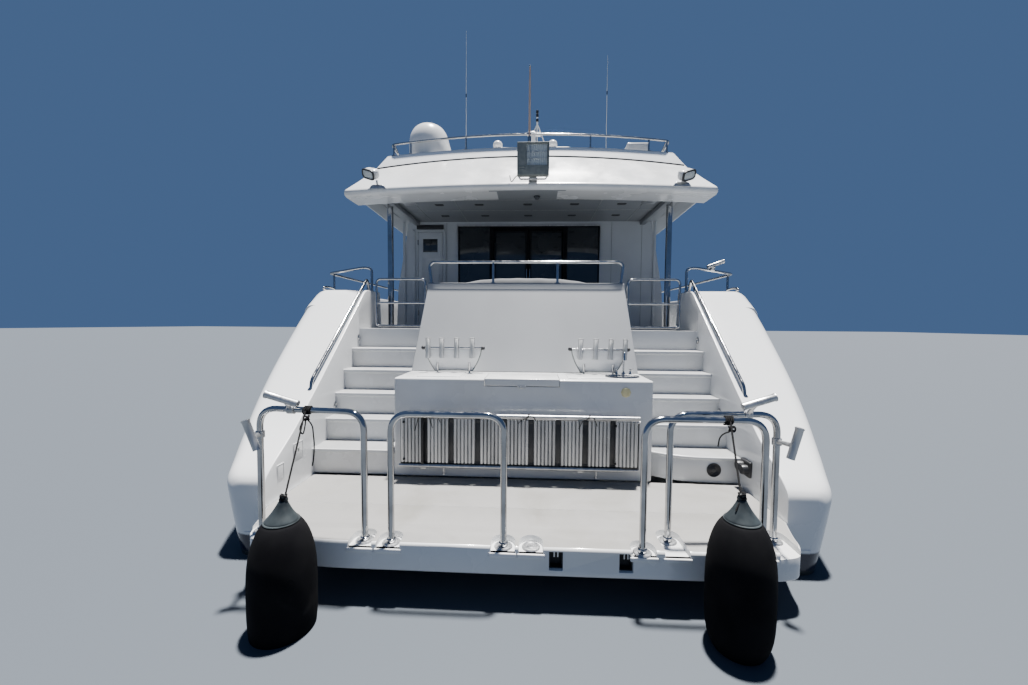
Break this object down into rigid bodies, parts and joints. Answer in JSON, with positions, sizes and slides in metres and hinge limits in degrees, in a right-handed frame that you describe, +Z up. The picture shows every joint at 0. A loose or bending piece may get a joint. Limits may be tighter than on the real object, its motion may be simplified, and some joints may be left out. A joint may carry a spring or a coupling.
{
  "type": "raised-pilothouse motor yacht",
  "caption": "Motor yacht afloat, with stern stairs, swim platform, deckhouse, pilothouse and flybridge; propellers, rudders, fins, doors, gates, lid and radar move.",
  "frame": {"origin": "on the waterline and the centreline, at the foot of the stern stairs", "axes": "+X starboard, +Y to the bow, +Z up"},
  "size_m": [6.6222, 31.465, 13.55],
  "materials": {
    "gelcoat": "glossy",
    "polished_steel": "polished",
    "alloy": "satin",
    "dark_frame": "satin",
    "bronze": "satin",
    "tinted_glass": "glossy",
    "fender_cover": "matte",
    "cushion": "matte"
  },
  "bodies": {
    "yacht": {"aft_settee": "cushion", "boat_deck": "gelcoat", "boat_deck_rail": "polished_steel", "bulwark_port": "gelcoat", "bulwark_starboard": "gelcoat", "fender_port": "fender_cover", "fender_starboard": "fender_cover", "flybridge_side_port": "gelcoat", "flybridge_side_starboard": "gelcoat", "foredeck_trunk": "gelcoat", "gangway": "alloy", "hardtop": "gelcoat", "hoop_centre": "polished_steel", "hoop_port": "polished_steel", "hoop_starboard_aft": "polished_steel", "hoop_starboard_fore": "polished_steel", "house_aft_bulkhead": "gelcoat", "house_fore_bulkhead": "gelcoat", "house_side_port": "gelcoat", "house_side_starboard": "gelcoat", "hull": "gelcoat", "mast": "gelcoat", "pillar_port": "gelcoat", "pillar_starboard": "gelcoat", "pilothouse": "gelcoat", "rod_station_port": "polished_steel", "rod_station_starboard": "polished_steel", "saloon_window_port": "tinted_glass", "saloon_window_starboard": "tinted_glass", "satellite_dome": "gelcoat", "shaft_strut_port": "bronze", "shaft_strut_starboard": "bronze", "side_rail_port": "polished_steel", "side_rail_starboard": "polished_steel", "stair_rail_port": "polished_steel", "stair_rail_starboard": "polished_steel", "stern_locker": "gelcoat", "stern_stairs_port": "gelcoat", "stern_stairs_starboard": "gelcoat", "stern_wing_port": "gelcoat", "stern_wing_starboard": "gelcoat", "swim_platform": "gelcoat", "transom_panel": "gelcoat", "transom_rail": "polished_steel", "windscreen": "tinted_glass"},
    "propeller_port": {"propeller_port": "bronze"},
    "rudder_port": {"rudder_port": "bronze"},
    "stabiliser_fin_port": {"stabiliser_fin_port": "gelcoat"},
    "stern_gate_port": {"stern_gate_port": "polished_steel"},
    "saloon_door_port": {"saloon_door_port": "dark_frame"},
    "pilothouse_door_port": {"pilothouse_door_port": "gelcoat"},
    "propeller_starboard": {"propeller_starboard": "bronze"},
    "rudder_starboard": {"rudder_starboard": "bronze"},
    "stabiliser_fin_starboard": {"stabiliser_fin_starboard": "gelcoat"},
    "stern_gate_starboard": {"stern_gate_starboard": "polished_steel"},
    "saloon_door_starboard": {"saloon_door_starboard": "dark_frame"},
    "pilothouse_door_starboard": {"pilothouse_door_starboard": "gelcoat"},
    "side_door": {"side_door": "gelcoat"},
    "locker_lid": {"locker_lid": "gelcoat"},
    "radar_scanner": {"radar_scanner": "gelcoat"}
  },
  "joints": [
    {"name": "propeller_port_turn", "type": "hinge", "parent": "yacht", "child": "propeller_port", "pos_m": [-1.35, 0.9, -1.1], "axis": [0, 0.9903, 0.1386], "continuous": true},
    {"name": "rudder_port_turn", "type": "hinge", "parent": "yacht", "child": "rudder_port", "pos_m": [-1.35, 0.3, -0.5], "axis": [0, 0, 1], "range_deg": [-35, 35]},
    {"name": "stabiliser_port_turn", "type": "hinge", "parent": "yacht", "child": "stabiliser_fin_port", "pos_m": [-2.15, 11, -0.488], "axis": [0.2588, 0, 0.9659], "range_deg": [-20, 20]},
    {"name": "stern_gate_port_swing", "type": "hinge", "parent": "yacht", "child": "stern_gate_port", "pos_m": [-2.085, 1.26, 2.3], "axis": [0, 0, 1], "range_deg": [0, 90]},
    {"name": "saloon_door_port_slide", "type": "slide", "parent": "yacht", "child": "saloon_door_port", "axis": [-1, 0, 0], "range_m": [0, 0.65]},
    {"name": "pilothouse_door_port_swing", "type": "hinge", "parent": "yacht", "child": "pilothouse_door_port", "pos_m": [-2.142, 17.546, 4], "axis": [0, 0, -1], "range_deg": [0, 90]},
    {"name": "propeller_starboard_turn", "type": "hinge", "parent": "yacht", "child": "propeller_starboard", "pos_m": [1.35, 0.9, -1.1], "axis": [0, 0.9903, 0.1386], "continuous": true},
    {"name": "rudder_starboard_turn", "type": "hinge", "parent": "yacht", "child": "rudder_starboard", "pos_m": [1.35, 0.3, -0.5], "axis": [0, 0, 1], "range_deg": [-35, 35]},
    {"name": "stabiliser_starboard_turn", "type": "hinge", "parent": "yacht", "child": "stabiliser_fin_starboard", "pos_m": [2.15, 11, -0.488], "axis": [-0.2588, 0, 0.9659], "range_deg": [-20, 20]},
    {"name": "stern_gate_starboard_swing", "type": "hinge", "parent": "yacht", "child": "stern_gate_starboard", "pos_m": [2.085, 1.26, 2.3], "axis": [0, 0, -1], "range_deg": [0, 90]},
    {"name": "saloon_door_starboard_slide", "type": "slide", "parent": "yacht", "child": "saloon_door_starboard", "axis": [1, 0, 0], "range_m": [0, 0.65]},
    {"name": "pilothouse_door_starboard_swing", "type": "hinge", "parent": "yacht", "child": "pilothouse_door_starboard", "pos_m": [2.142, 17.546, 4], "axis": [0, 0, 1], "range_deg": [0, 90]},
    {"name": "side_door_swing", "type": "hinge", "parent": "yacht", "child": "side_door", "pos_m": [-2.186, 3.708, 2.9], "axis": [0, 0, -1], "range_deg": [0, 90]},
    {"name": "locker_lid_lift", "type": "hinge", "parent": "yacht", "child": "locker_lid", "pos_m": [0, 0.245, 1.49], "axis": [-1, 0, 0], "range_deg": [0, 80]},
    {"name": "radar_scanner_turn", "type": "hinge", "parent": "yacht", "child": "radar_scanner", "pos_m": [0, 11.3, 7.4], "axis": [0, 0, 1], "continuous": true}
  ],
  "couplings": [
    {"joint": "rudder_starboard_turn", "follows": "rudder_port_turn", "ratio": 1}
  ]
}
